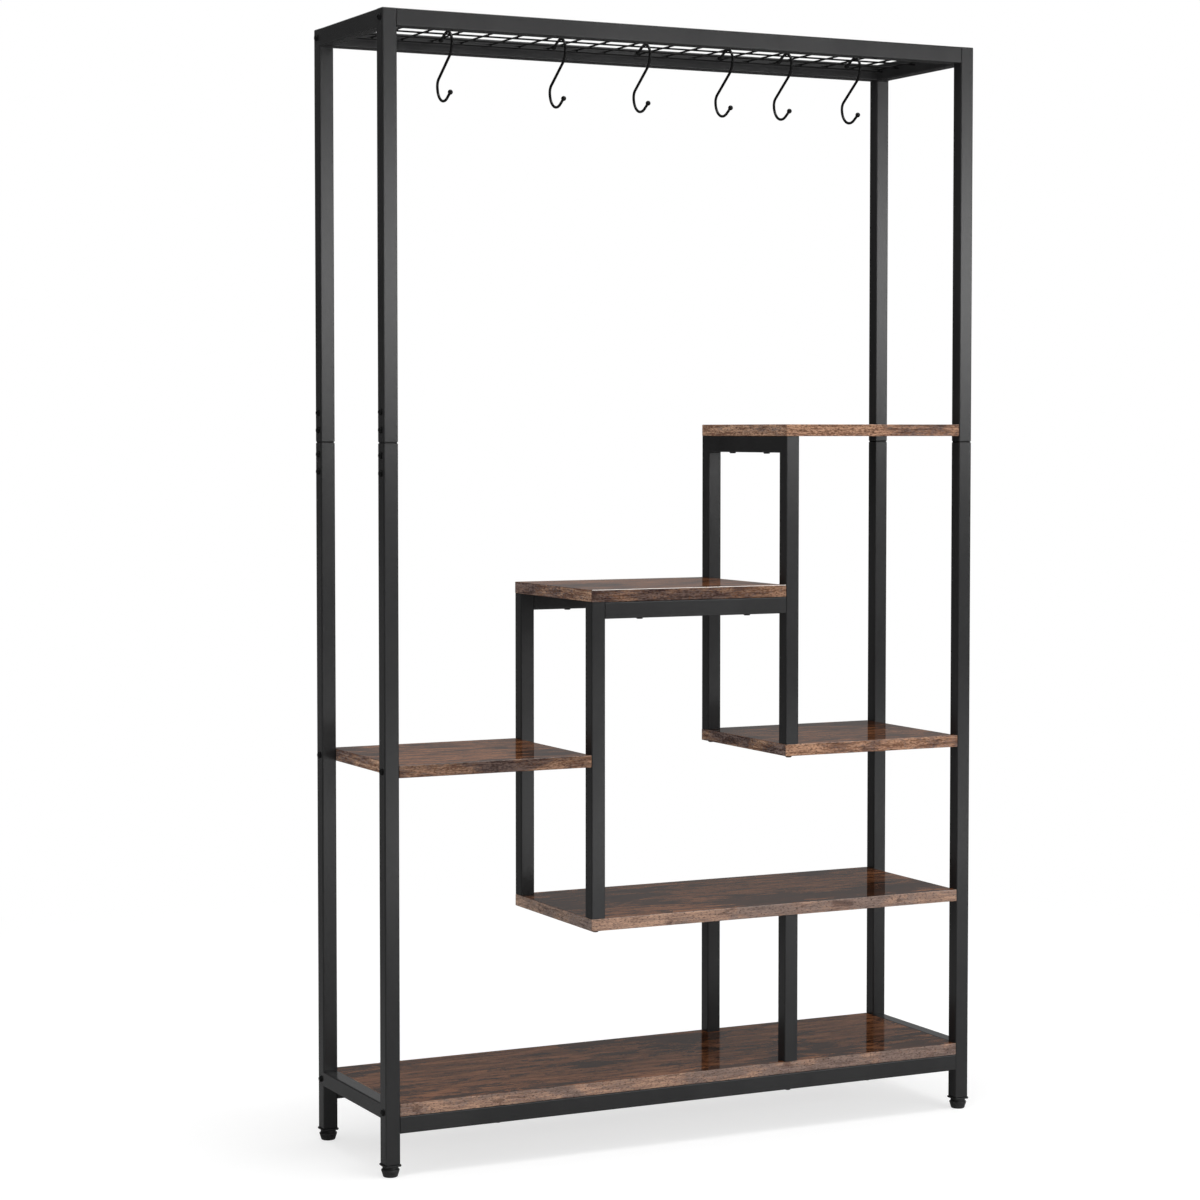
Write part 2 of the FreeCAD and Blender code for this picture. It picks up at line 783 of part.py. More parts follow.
# Left edge and width of a bay between cross wires, counted from the middle bay
def bay(count):
    if count == 0:
        return -middle_bay / 2, middle_bay
    if count > 0:
        return middle_bay / 2 + cross_pitch * (count - 1), cross_pitch
    return -middle_bay / 2 + cross_pitch * count, cross_pitch


# An S hook about the wire that it hangs on: the small loop opens to the rear at the top and
# the large loop opens to the front at the bottom
hook_radius = named("hook_wire_diameter") / 2
upper_radius = named("hook_upper_radius")
lower_radius = named("hook_lower_radius")
upper_drop = upper_radius - wire_radius - named("seat_gap") - hook_radius
lower_drop = upper_drop - upper_radius + named("hook_span") - lower_radius
lower_offset = named("hook_lower_offset")
upper_flare = named("hook_upper_flare_degrees")
lower_flare = named("hook_lower_flare_degrees")


def direction(degrees):
    return Vector(math.cos(math.radians(degrees)), math.sin(math.radians(degrees)), 0)


def arc_about(centre, radius, start, finish):
    circle = Part.Circle(centre, Vector(0, 0, 1), radius)
    return Part.ArcOfCircle(circle, math.radians(start), math.radians(finish))


def hook_path(body):
    upper = number(upper_radius)
    lower = number(lower_radius)
    upper_bend = number(named("hook_upper_bend"))
    lower_bend = number(named("hook_lower_bend"))
    upper_centre = Vector(0, -number(upper_drop), 0)
    lower_centre = Vector(number(lower_offset), -number(lower_drop), 0)
    upper_start = 90 - number(upper_flare)
    lower_start = -90 - number(lower_flare)
    upper_end = upper_centre + direction(upper_start) * upper
    lower_end = lower_centre + direction(lower_start) * lower
    upper_tip = upper_end + direction(upper_start - 90) * number(named("hook_upper_tip_length"))
    lower_tip = lower_end + direction(lower_start - 90) * number(named("hook_lower_tip_length"))
    first_centre = upper_centre + Vector(upper_bend - upper, 0, 0)
    second_centre = lower_centre + Vector(lower - lower_bend, 0, 0)
    between = second_centre - first_centre
    bearing = math.degrees(math.atan2(between.y, between.x))
    opening = math.degrees(math.acos((upper_bend + lower_bend) / between.Length))
    slope = 360 + bearing - opening
    first_leave = first_centre + direction(slope) * upper_bend
    second_arrive = second_centre - direction(slope) * lower_bend

    path = new_sketch(body, "path", "YZ_Plane")
    for line in (
        Part.LineSegment(upper_tip, upper_end),
        arc_about(upper_centre, upper, upper_start, 180),
        arc_about(first_centre, upper_bend, 180, slope),
        Part.LineSegment(first_leave, second_arrive),
        arc_about(second_centre, lower_bend, 0, slope - 180),
        arc_about(lower_centre, lower, lower_start, 0),
        Part.LineSegment(lower_end, lower_tip),
    ):
        path.addGeometry(line, False)
    joins = ((0, 2, 1, 1), (1, 2, 2, 1), (2, 2, 3, 1), (3, 2, 4, 2), (4, 1, 5, 2), (5, 1, 6, 1))
    for join in joins:
        path.addConstraint(Sketcher.Constraint("Tangent", *join))
    path.addConstraint(Sketcher.Constraint("PointOnObject", 1, 3, -2))
    path.addConstraint(Sketcher.Constraint("Horizontal", 1, 2, 1, 3))
    path.addConstraint(Sketcher.Constraint("Horizontal", 5, 2, 5, 3))
    for name, kind, where, term in (
        ("upper_drop", "DistanceY", (1, 3, -1, 1), upper_drop),
        ("lower_drop", "DistanceY", (5, 3, -1, 1), lower_drop),
        ("lower_offset", "DistanceX", (-1, 1, 5, 3), lower_offset),
        ("upper_radius", "Radius", (1,), upper_radius),
        ("upper_bend", "Radius", (2,), named("hook_upper_bend")),
        ("lower_bend", "Radius", (4,), named("hook_lower_bend")),
        ("lower_radius", "Radius", (5,), lower_radius),
        ("upper_tip", "Distance", (0,), named("hook_upper_tip_length")),
        ("lower_tip", "Distance", (6,), named("hook_lower_tip_length")),
    ):
        index = path.addConstraint(Sketcher.Constraint(kind, *where, number(term)))
        rename(path, index, name, term)
    for name, line, flare in (("upper_flare", 0, upper_flare), ("lower_flare", 6, lower_flare)):
        angle = math.radians(180 - number(flare))
        index = path.addConstraint(Sketcher.Constraint("Angle", line, angle))
        rename(path, index, name, (180 - flare) * Size("1 deg"))
    doc.recompute()
    return path


hook = doc.addObject("PartDesign::Body", "s_hook")
path = hook_path(hook)
swept_wire(hook, path, hook_radius)
for vertex in ("Vertex1", f"Vertex{len(path.Shape.Vertexes)}"):
    ball = hook.newObject("PartDesign::AdditiveSphere", "Tip")
    ball.AttachmentSupport = (path, [vertex])
    ball.MapMode = "Translate"
    bind(ball, {"Radius": named("hook_tip_diameter") / 2})
for count, (bay_number, share) in enumerate(zip(hook_bays, hook_bay_shares), start=1):
    left_edge, bay_width = bay(bay_number)
    copy = doc.addObject("App::Link", "hook_copy")
    copy.LinkedObject = hook
    copy.LinkTransform = False
    place(copy, (left_edge + bay_width * share, 0, long_wire_height))
    keep(f"hook_{count}", copy)

doc.recompute()
faulty = [item.Name for item in doc.Objects if "Invalid" in item.State or "Error" in item.State]
if faulty:
    raise RuntimeError(f"objects that failed: {faulty}")
for label, item in parts.items():
    if item.Shape.isNull() or not item.Shape.isValid():
        raise RuntimeError(f"{label} has no valid shape")

os.makedirs("parts", exist_ok=True)
for label, item in parts.items():
    item.Shape.exportStep(f"parts/{label}.step")
print(f"{len(parts)} sub-parts written")
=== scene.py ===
import json
import math

import bmesh
import bpy
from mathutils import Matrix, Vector


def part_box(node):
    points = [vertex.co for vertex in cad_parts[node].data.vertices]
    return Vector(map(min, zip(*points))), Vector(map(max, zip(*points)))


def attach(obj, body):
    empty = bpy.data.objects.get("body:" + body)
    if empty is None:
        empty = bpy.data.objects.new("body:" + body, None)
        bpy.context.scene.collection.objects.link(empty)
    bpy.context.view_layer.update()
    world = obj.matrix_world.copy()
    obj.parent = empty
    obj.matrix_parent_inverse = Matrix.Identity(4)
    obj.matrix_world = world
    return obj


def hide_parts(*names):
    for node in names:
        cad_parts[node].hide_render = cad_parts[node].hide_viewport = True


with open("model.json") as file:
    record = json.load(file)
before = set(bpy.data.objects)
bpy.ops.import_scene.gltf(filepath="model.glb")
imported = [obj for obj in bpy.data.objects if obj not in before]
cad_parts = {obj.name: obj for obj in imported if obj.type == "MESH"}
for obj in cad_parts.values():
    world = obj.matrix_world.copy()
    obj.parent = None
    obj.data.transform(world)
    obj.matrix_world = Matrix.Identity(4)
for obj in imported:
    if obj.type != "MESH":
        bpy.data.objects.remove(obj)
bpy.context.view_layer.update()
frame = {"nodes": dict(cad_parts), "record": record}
nodes = frame["nodes"]
print("frame loaded:", len(nodes), "nodes")

# place in metres, lens in millimetres, turns in degrees
photoView = {"place": (-2.2856, -4.4220, 1.1868), "lens": 87.694, "yaw": 26.34, "tilt": -2.589,
             "shift": -0.03}

camera = bpy.data.objects.new("standCamera", bpy.data.cameras.new("standCamera"))
bpy.context.scene.collection.objects.link(camera)
camera.location = photoView["place"]
camera.rotation_euler = (math.radians(90 + photoView["tilt"]), 0, math.radians(-photoView["yaw"]))
camera.data.lens = photoView["lens"]
camera.data.shift_y = photoView["shift"]
bpy.context.scene.camera = camera
bpy.context.scene.view_settings.view_transform = "Standard"


# a shader socket that can be used in sums
class Wire:
    def __init__(self, finish, socket):
        self.finish = finish
        self.socket = socket

    def calc(self, operation, first, second=0.0):
        return self.finish.node("Math", {"operation": operation}, {0: first, 1: second})

    def __add__(self, other):
        return self.calc("ADD", self, other)

    def __radd__(self, other):
        return self.calc("ADD", other, self)

    def __sub__(self, other):
        return self.calc("SUBTRACT", self, other)

    def __rsub__(self, other):
        return self.calc("SUBTRACT", other, self)

    def __mul__(self, other):
        return self.calc("MULTIPLY", self, other)

    def __rmul__(self, other):
        return self.calc("MULTIPLY", other, self)

    def __abs__(self):
        return self.calc("ABSOLUTE", self)

    def __gt__(self, other):
        return self.calc("GREATER_THAN", self, other)

    def within(self, low, high):                       # 0 at low, 1 at high, soft between
        return self.finish.node("MapRange", {"interpolation_type": "SMOOTHSTEP"},
                                {0: self, 1: low, 2: high, 3: 0.0, 4: 1.0})


# a material under construction, or the world
class Finish:
    def __init__(self, name, world=False):
        self.owner = bpy.data.worlds.new(name) if world else bpy.data.materials.new(name)
        self.owner.use_nodes = True
        self.tree = self.owner.node_tree
        self.tree.nodes.clear()

    def node(self, kind, settings, sockets, output=0):
        made = self.tree.nodes.new("ShaderNode" + kind)
        for name, value in settings.items():
            setattr(made, name, value)
        for name, value in sockets.items():
            if isinstance(value, Wire):
                self.tree.links.new(value.socket, made.inputs[name])
            else:
                made.inputs[name].default_value = value
        return Wire(self, made.outputs[output]) if len(made.outputs) else None

    def place(self, scale, turn=(0, 0, 0), shift=(0, 0, 0)):      # where a pattern is read, in metres
        seen = self.node("TexCoord", {}, {}, "Object")
        return self.node("Mapping", {}, {"Vector": seen, "Location": shift, "Rotation": turn,
                                         "Scale": scale})

    def part(self, vector, axis):                      # one number of a direction or a place
        return self.node("SeparateXYZ", {}, {0: vector}, axis)

    def noise(self, where, detail=2.0, roughness=0.5, warp=0.0):
        return self.node("TexNoise", {}, {"Vector": where, "Scale": 1.0, "Detail": detail,
                                          "Roughness": roughness, "Distortion": warp})

    def blend(self, share, first, second, way="MIX"):
        return self.node("Mix", {"data_type": "RGBA", "blend_type": way},
                         {0: share, 6: first, 7: second}, 2)

    def bump(self, height, depth):
        return self.node("Bump", {}, {"Height": height, "Distance": depth, "Strength": 1.0})

    def finished(self, sockets):
        shader = self.node("BsdfPrincipled", {}, sockets)
        self.node("OutputMaterial", {}, {0: shader})
        return self.owner


def grey(level):
    return (level, level, level, 1.0)


def dress(material, names):
    for name in names:
        piece = nodes[name]
        piece.data.materials.clear()
        piece.data.materials.append(material)


# black powder coat: satin, with the fine orange peel of baked powder; pattern sizes are waves in a metre
tubeCoat = {"base": (0.0180, 0.0180, 0.0185), "light": (0.0240, 0.0240, 0.0245), "cloud": (9, 9, 5),
            "cloudRange": (0.3, 0.7), "rough": 0.21, "roughSpread": 0.05, "shine": 0.20,
            "peel": 900.0, "peelRough": 0.55, "peelDepth": 0.00006,
            "grit": 3800.0, "gritRange": (0.62, 0.80), "gritShare": 0.35, "gritTone": 0.05,
            "gritRough": 0.08, "gritDepth": 0.25}


def powderCoat(name, look):
    coat = Finish(name)
    cloud = coat.noise(coat.place(look["cloud"]), 3.0)
    peel = coat.noise(coat.place((look["peel"],) * 3), 2.0, look["peelRough"])
    grit = coat.noise(coat.place((look["grit"],) * 3), 1.0)
    colour = coat.blend(cloud.within(*look["cloudRange"]), (*look["base"], 1.0), (*look["light"], 1.0))
    colour = coat.blend(grit.within(*look["gritRange"]) * look["gritShare"], colour, grey(look["gritTone"]))
    return coat.finished({
        "Base Color": colour,
        "Roughness": look["rough"] + (cloud - 0.5) * look["roughSpread"] + (grit - 0.5) * look["gritRough"],
        "Specular IOR Level": look["shine"],
        "Normal": coat.bump(peel + grit * look["gritDepth"], look["peelDepth"]),
    })


# printed rustic laminate: glossy faces with the streaks along the board, paler matt edges
# each layer of grain: waves in a metre along, across and through the board, detail, roughness, warp
laminate = {
    "dark": (0.0075, 0.0036, 0.0026), "soot": (0.062, 0.0260, 0.0145),
    "brown": (0.072, 0.0262, 0.0110), "warm": (0.300, 0.1240, 0.0560),
    "edgeDark": (0.030, 0.021, 0.022), "edgeGrey": (0.150, 0.110, 0.104), "knot": (0.050, 0.026, 0.024),
    "edgeBrown": (0.185, 0.094, 0.060), "edgePale": (0.540, 0.315, 0.200), "wash": (0.450, 0.345, 0.290),
    "endGreyAndLit": (1.38, 1.50, 1.58), "highlightLine": (0.80, 0.76, 0.72),
    "tide": ((3.0, 6, 6), 2.0, 0.5, 0.0), "patches": ((11, 34, 34), 7.0, 0.68, 0.7),
    "bands": ((9, 70, 70), 6.0, 0.66, 0.5), "streaks": ((18, 260, 260), 4.0, 0.66, 0.3),
    "fibres": ((80, 1000, 1000), 3.0, 0.6, 0.0), "threads": ((150, 420, 420), 3.0, 0.6, 0.0),
    "knots": ((20, 52, 52), 4.0, 0.6, 0.8), "pores": ((190, 600, 600), 2.0, 0.5, 0.0),
    "stripeRange": (0.40, 0.61), "blotRange": (0.49, 0.56), "poreRange": (0.58, 0.68),
    "stainRange": (0.50, 0.56), "fleckRange": (0.44, 0.56), "knotRange": (0.58, 0.68),
    "edgePoreRange": (0.56, 0.64),
    "blotShare": 0.88, "poreShare": 0.5, "ashShare": 0.85, "knotShare": 0.55, "edgePoreShare": 0.70,
    "rough": 0.50, "roughSpread": 0.12, "gloss": 0.44, "edgeGloss": 0.05, "glossRough": 0.0,
    "glossBend": 1.5, "grainDepth": 0.00003,
    "flatRange": (0.80, 0.95), "endFrom": 0.8, "easedRange": (0.55, 0.65), "sideRange": (0.3, 0.5),
}


def laminateBoard(name, look, own):
    board = Finish(name)
    normal = board.node("TexCoord", {}, {}, "Normal")
    tilt = board.part(normal, "Z")
    side = abs(board.part(normal, "X"))
    flat = abs(tilt).within(*look["flatRange"])
    end = side > look["endFrom"]

    along = board.place((1, 1, 1), (0, 0, 0), own["shift"])
    across = board.place((1, 1, 1), (0, 0, math.radians(90)), own["shift"])
    spot = board.node("Mix", {"data_type": "VECTOR"}, {0: end, 4: along, 5: across}, 1)

    def grain(layer):
        scale, detail, roughness, warp = look[layer]
        stretched = board.node("VectorMath", {"operation": "MULTIPLY"}, {0: spot, 1: scale})
        return board.noise(stretched, detail, roughness, warp)

    tide = grain("tide")
    patches = grain("patches")
    bands = grain("bands")
    streaks = grain("streaks")
    fibres = grain("fibres")
    threads = grain("threads")
    knots = grain("knots")
    pores = grain("pores")

    stripe = (bands * 0.48 + streaks * 0.34 + fibres * 0.18).within(*look["stripeRange"])
    blot = (patches + (tide - 0.5) * 0.8 + (streaks - 0.5) * 0.35).within(*look["blotRange"])
    wood = board.blend(stripe, (*look["brown"], 1.0), (*look["warm"], 1.0))
    shade = board.blend(stripe, (*look["dark"], 1.0), (*look["soot"], 1.0))
    top = board.blend(blot * look["blotShare"], wood, shade)
    top = board.blend(pores.within(*look["poreRange"]) * look["poreShare"], top, (*look["dark"], 1.0))

    smear = patches * 0.6 + threads * 0.4 + (tide - 0.5) * 0.5 + (fibres - 0.5) * 0.4
    stain = (smear + own["stain"]).within(*look["stainRange"])
    fleck = (streaks * 0.42 + fibres * 0.18 + threads * 0.40).within(*look["fleckRange"])
    rim = board.blend(fleck, (*look["edgeBrown"], 1.0), (*look["edgePale"], 1.0))
    ash = board.blend(fleck, (*look["edgeDark"], 1.0), (*look["edgeGrey"], 1.0))
    rim = board.blend(stain * look["ashShare"], rim, ash)
    rim = board.blend(own["wash"], rim, (*look["wash"], 1.0))
    rim = board.blend(knots.within(*look["knotRange"]) * look["knotShare"], rim, (*look["knot"], 1.0))
    rim = board.blend(pores.within(*look["edgePoreRange"]) * look["edgePoreShare"], rim,
                      (*look["edgeDark"], 1.0))
    # painted light: the end faces are made paler and greyer, partly their own greyer end colour, partly to
    # make up for the dim light from the left
    rim = board.blend(end, rim, (*look["endGreyAndLit"], 1.0), "MULTIPLY")
    # painted shade: each board's edges are darkened towards black by its edge share; the end faces are left
    # out
    rim = board.blend(own["edge"] + end * (1.0 - own["edge"]), grey(0.0), rim)
    # painted highlight: a pale line along the eased top front edge, strongest on the step board
    eased = tilt.within(*look["easedRange"]) * (1.0 - flat) * (1.0 - side.within(*look["sideRange"]))
    rim = board.blend(eased * own["line"], rim, (*look["highlightLine"], 1.0))

    return board.finished({
        "Base Color": board.blend(flat, rim, top),
        "Roughness": look["rough"] + (streaks - 0.5) * look["roughSpread"],
        "Specular IOR Level": 0.0,
        "Coat Weight": look["edgeGloss"] + flat * (look["gloss"] - look["edgeGloss"]),
        "Coat Roughness": look["glossRough"],
        "Coat IOR": look["glossBend"],
        "Normal": board.bump(fibres * 0.6 + streaks * 0.4, look["grainDepth"]),
    })


# moulded black plastic of the hidden sockets and caps
plasticLook = {"base": (0.0045, 0.0045, 0.0048), "paler": 1.5, "grain": 1500, "grainDepth": 0.00006,
               "cloud": 60, "cloudRange": (0.3, 0.7), "rough": 0.50, "roughSpread": 0.12, "shine": 0.4}


def moulded(name, look):
    shell = Finish(name)
    grain = shell.noise(shell.place((look["grain"],) * 3), 2.0)
    cloud = shell.noise(shell.place((look["cloud"],) * 3), 2.0)
    paler = [level * look["paler"] for level in look["base"]]
    return shell.finished({
        "Base Color": shell.blend(cloud.within(*look["cloudRange"]), (*look["base"], 1.0), (*paler, 1.0)),
        "Roughness": look["rough"] + (cloud - 0.5) * look["roughSpread"],
        "Specular IOR Level": look["shine"],
        "Normal": shell.bump(grain, look["grainDepth"]),
    })


# worn nylon of the foot pads, with painted shade on the neck above the rim, where it lies under the flange
nylonLook = {"face": 0.022, "faceDarker": 0.55, "facePaler": 1.6, "neckShade": 0.0040,
             "neckHeight": 0.0122, "neckBlend": 0.0003, "scuff": (420, 420, 900), "scuffRange": (0.35, 0.70),
             "grain": 1500, "grainDepth": 0.00005, "rough": 0.48, "roughSpread": 0.3, "shine": 0.30}


def padPlastic(name, look):
    pad = Finish(name)
    height = pad.part(pad.node("TexCoord", {}, {}, "Object"), "Z")
    # painted shade: the neck above the rim is darkened where the flange shades it
    neckShade = height.within(look["neckHeight"] - look["neckBlend"], look["neckHeight"] + look["neckBlend"])
    scuff = pad.noise(pad.place(look["scuff"]), 4.0, 0.65)
    grain = pad.noise(pad.place((look["grain"],) * 3), 2.0)
    face = pad.blend(scuff.within(*look["scuffRange"]), grey(look["face"] * look["faceDarker"]),
                     grey(look["face"] * look["facePaler"]))
    return pad.finished({
        "Base Color": pad.blend(neckShade, face, grey(look["neckShade"])),
        "Roughness": look["rough"] + (scuff - 0.5) * look["roughSpread"],
        "Specular IOR Level": look["shine"],
        "Normal": pad.bump(grain, look["grainDepth"]),
    })


# zinc plate of the studs, plugs and inserts
zincLook = {"base": (0.55, 0.56, 0.57), "darker": 0.78, "cloud": 140, "cloudRange": (0.3, 0.7),
            "lines": (500, 500, 6000), "linesDepth": 0.00002, "rough": 0.34, "roughSpread": 0.2}


def platedSteel(name, look):
    plate = Finish(name)
    cloud = plate.noise(plate.place((look["cloud"],) * 3), 3.0)
    lines = plate.noise(plate.place(look["lines"]), 2.0)
    darker = [level * look["darker"] for level in look["base"]]
    return plate.finished({
        "Base Color": plate.blend(cloud.within(*look["cloudRange"]), (*look["base"], 1.0), (*darker, 1.0)),
        "Metallic": 1.0,
        "Roughness": look["rough"] + (lines - 0.5) * look["roughSpread"],
        "Normal": plate.bump(lines, look["linesDepth"]),
    })


slotNodes = {}
for part in frame["record"]["subparts"]:
    slotNodes.setdefault(part["material_slot"], []).append(part["node"])
print("slots:", {slot: len(names) for slot, names in slotNodes.items()})

# the tube's coat in darker mixes
hookCoat = dict(tubeCoat, base=(0.0018, 0.0018, 0.0018), light=(0.0034, 0.0034, 0.0034),
                rough=0.24, shine=0.14, peelDepth=0.00004)
boltCoat = dict(tubeCoat, base=(0.0020, 0.0020, 0.0022), light=(0.0040, 0.0040, 0.0040),
                rough=0.30, shine=0.16, peelDepth=0.00003)
# painted shade: the grid, its welds and the post sleeves get a darker copy of the tube's powder coat,
# standing in for the shade the grid lies in
gridShadeCoat = dict(tubeCoat, base=(0.0022, 0.0022, 0.0024), light=(0.0042, 0.0042, 0.0042),
                shine=0.09, peelDepth=0.00005)
finishes = {
    "black_tube": powderCoat("tubePowder", tubeCoat),
    "hook_steel": powderCoat("hookPaint", hookCoat),
    "black_bolt": powderCoat("boltBlack", boltCoat),
    "black_plastic": moulded("mouldedBlack", plasticLook),
    "zinc_steel": platedSteel("zincPlate", zincLook),
}
for slot, finish in finishes.items():
    dress(finish, slotNodes[slot])
gridShadedFinish = powderCoat("gridShadedPowder", gridShadeCoat)
dress(gridShadedFinish, ["top_wire_grid", "post_sleeves"])
padNylon = padPlastic("padNylon", nylonLook)

# where each board lies in the print, its stain, the painted shade and the wash of its edges, and its painted
# highlight line
boardLooks = {
    "bottom_board": {"shift": (0.0, 0.0, 0.0), "stain": 0.02, "edge": 1.00, "wash": 0.26, "line": 0.0},
    "low_board": {"shift": (3.1, 0.7, 1.3), "stain": -0.01, "edge": 1.00, "wash": 0.32, "line": 0.1},
    "left_board": {"shift": (6.4, 1.9, 2.2), "stain": 0.02, "edge": 0.66, "wash": 0.0, "line": 0.1},
    "right_board": {"shift": (9.3, 2.6, 0.4), "stain": -0.01, "edge": 1.00, "wash": 0.0, "line": 0.1},
    "step_board": {"shift": (12.7, 3.8, 1.9), "stain": 0.04, "edge": 0.70, "wash": 0.0, "line": 0.9},
    "top_board": {"shift": (15.2, 4.4, 2.8), "stain": -0.03, "edge": 0.92, "wash": 0.0, "line": 0.1},
}
for name, own in boardLooks.items():
    dress(laminateBoard(name + "_laminate", laminate, own), [name])
print("finishes made")

# how near a point has to be to count, in metres, and how squarely a face has to point
making = {"level": 0.00002, "corner": 0.0001, "merge": 0.000001, "square": 0.9}


def alone():                                  # nothing stays selected, so the next operator reaches no more
    bpy.ops.object.select_all(action="DESELECT")


def begun(name):                              # the primitive just added, with its place in its mesh
    piece = bpy.context.active_object
    piece.name = name
    bpy.ops.object.transform_apply(location=True, rotation=True, scale=True)
    return piece


def pick(piece, kind, wanted):                # in edit mode: selects what passes a test
    bpy.ops.mesh.select_mode(type=kind)
    bpy.ops.mesh.select_all(action="DESELECT")
    shape = bmesh.from_edit_mesh(piece.data)
    for item in {"FACE": shape.faces, "EDGE": shape.edges, "VERT": shape.verts}[kind]:
        if wanted(item):
            item.select_set(True)
    shape.select_flush_mode()
    bmesh.update_edit_mesh(piece.data)


def level(edge, height):                      # an edge that lies flat at one height
    return all(abs(point.co.z - height) < making["level"] for point in edge.verts)


def radius(edge):
    return math.hypot(*((edge.verts[0].co + edge.verts[1].co) / 2).xy)


def lift(by):
    bpy.ops.mesh.extrude_region_move(TRANSFORM_OT_translate={"value": (0, 0, by)})


def bevel(size, segments):                    # of the picked edges
    bpy.ops.mesh.bevel(offset=size, segments=segments, affect="EDGES")


def completed(piece, material, body, sharp=30):
    bpy.ops.object.mode_set(mode="EDIT")
    bpy.ops.mesh.select_all(action="SELECT")
    bpy.ops.mesh.remove_doubles(threshold=making["merge"])
    bpy.ops.mesh.normals_make_consistent(inside=False)
    bpy.ops.object.mode_set(mode="OBJECT")
    bpy.ops.object.shade_smooth_by_angle(angle=math.radians(sharp))
    piece.data.materials.clear()
    piece.data.materials.append(material)
    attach(piece, body)


def applied(piece, kind, settings):           # adds a modifier, sets it and applies it
    bpy.ops.object.modifier_add(type=kind)
    modifier = piece.modifiers[-1]
    for name, value in settings.items():
        setattr(modifier, name, value)
    bpy.ops.object.modifier_apply(modifier=modifier.name)


def joined(pieces):                           # all of them in the first one's mesh
    for piece in pieces:
        piece.select_set(True)
    bpy.context.view_layer.objects.active = pieces[0]
    bpy.ops.object.join()
    return pieces[0]


def copied(original, name, shift):            # a copy with its own mesh, moved by a shift
    alone()
    original.select_set(True)
    bpy.context.view_layer.objects.active = original
    bpy.ops.object.duplicate(linked=False)
    bpy.ops.transform.translate(value=shift)
    return begun(name)


def middle(name):                             # the middle of a node's box at rest, on the floor
    lowest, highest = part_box(name)
    return Vector(((lowest[0] + highest[0]) / 2, (lowest[1] + highest[1]) / 2, 0))


# levelling feet: a tapered nylon pad with a rounded rim and a groove, moulded round a threaded stud
padLook = {"sides": 72, "base": 0.01150, "rim": 0.01475, "taper": 0.0104, "band": 0.0016, "collar": 0.01275,
           "collarRise": 0.0050, "bore": 0.0041, "boreDepth": 0.0078, "soleRing": 0.0028, "soleDepth": 0.0006,
           "groove": 0.0078, "grooveHalf": 0.0005, "grooveShare": 0.955,
           "baseRound": 0.0012, "rimRound": 0.00045, "collarRound": 0.0007, "roundSteps": 3,
           "margin": 0.0005}


def footPad(look):
    alone()
    bpy.ops.mesh.primitive_cone_add(vertices=look["sides"], radius1=look["base"], radius2=look["rim"],
                                    depth=look["taper"], location=(0, 0, look["taper"] / 2))
    pad = begun("footPad")
    bpy.ops.object.mode_set(mode="EDIT")
    for height in (-look["grooveHalf"], 0, look["grooveHalf"]):
        bpy.ops.mesh.select_all(action="SELECT")
        bpy.ops.mesh.bisect(plane_co=(0, 0, look["groove"] + height), plane_no=(0, 0, 1))
    pick(pad, "FACE", lambda face: face.normal.z > making["square"])
    lift(look["band"])
    bpy.ops.mesh.inset(thickness=look["rim"] - look["collar"])
    lift(look["collarRise"])
    bpy.ops.mesh.inset(thickness=look["collar"] - look["bore"])
    lift(-look["boreDepth"])
    pick(pad, "FACE", lambda face: face.normal.z < -making["square"])
    bpy.ops.mesh.inset(thickness=look["soleRing"])
    lift(look["soleDepth"])
    pick(pad, "VERT", lambda point: abs(point.co.z - look["groove"]) < making["level"])
    bpy.ops.transform.resize(value=(look["grooveShare"], look["grooveShare"], 1),
                             center_override=(0, 0, look["groove"]))

    top = look["taper"] + look["band"]
    rounded = ((0, look["base"], look["baseRound"]),
               (look["taper"], look["rim"], look["rimRound"]),
               (top, look["rim"], look["rimRound"]),
               (top + look["collarRise"], look["collar"], look["collarRound"]))
    for height, outer, size in rounded:
        beyond = outer - look["margin"]
        pick(pad, "EDGE", lambda edge: level(edge, height) and radius(edge) > beyond)
        bevel(size, look["roundSteps"])
    bpy.ops.object.mode_set(mode="OBJECT")
    return pad


studLook = {"start": 0.0092, "end": 0.0470, "core": 0.00338, "sides": 24, "tip": 0.0008,
            "pitch": 0.00125, "crest": 0.00395, "half": 0.00050, "sink": 0.00060, "turns": 27,
            "sharp": 25}


def threadedStud(look):
    alone()
    length = look["end"] - look["start"]
    bpy.ops.mesh.primitive_cylinder_add(vertices=look["sides"], radius=look["core"], depth=length,
                                        location=(0, 0, look["start"] + length / 2))
    core = begun("studCore")
    bpy.ops.object.mode_set(mode="EDIT")
    pick(core, "EDGE", lambda edge: level(edge, look["end"]))
    bevel(look["tip"], 1)
    bpy.ops.object.mode_set(mode="OBJECT")

    alone()                                   # one turn of the ridge, wound up the stud
    first = look["start"] + 2 * look["pitch"]
    bpy.ops.mesh.primitive_circle_add(vertices=4, radius=look["sink"], fill_type="NOTHING",
                                      rotation=(math.radians(90), 0, 0),
                                      location=(look["crest"] - look["sink"], 0, first))
    ridge = begun("studRidge")
    bpy.ops.object.mode_set(mode="EDIT")
    bpy.ops.mesh.select_all(action="SELECT")
    bpy.ops.transform.resize(value=(1, 1, look["half"] / look["sink"]),
                             center_override=(look["crest"], 0, first))
    bpy.ops.object.mode_set(mode="OBJECT")
    applied(ridge, "SCREW", {"axis": "Z", "screw_offset": look["pitch"], "iterations": look["turns"],
                             "steps": look["sides"], "render_steps": look["sides"]})
    bpy.ops.object.mode_set(mode="EDIT")
    bpy.ops.mesh.select_all(action="SELECT")
    bpy.ops.mesh.fill_holes(sides=4)
    bpy.ops.object.mode_set(mode="OBJECT")
    return joined([core, ridge])


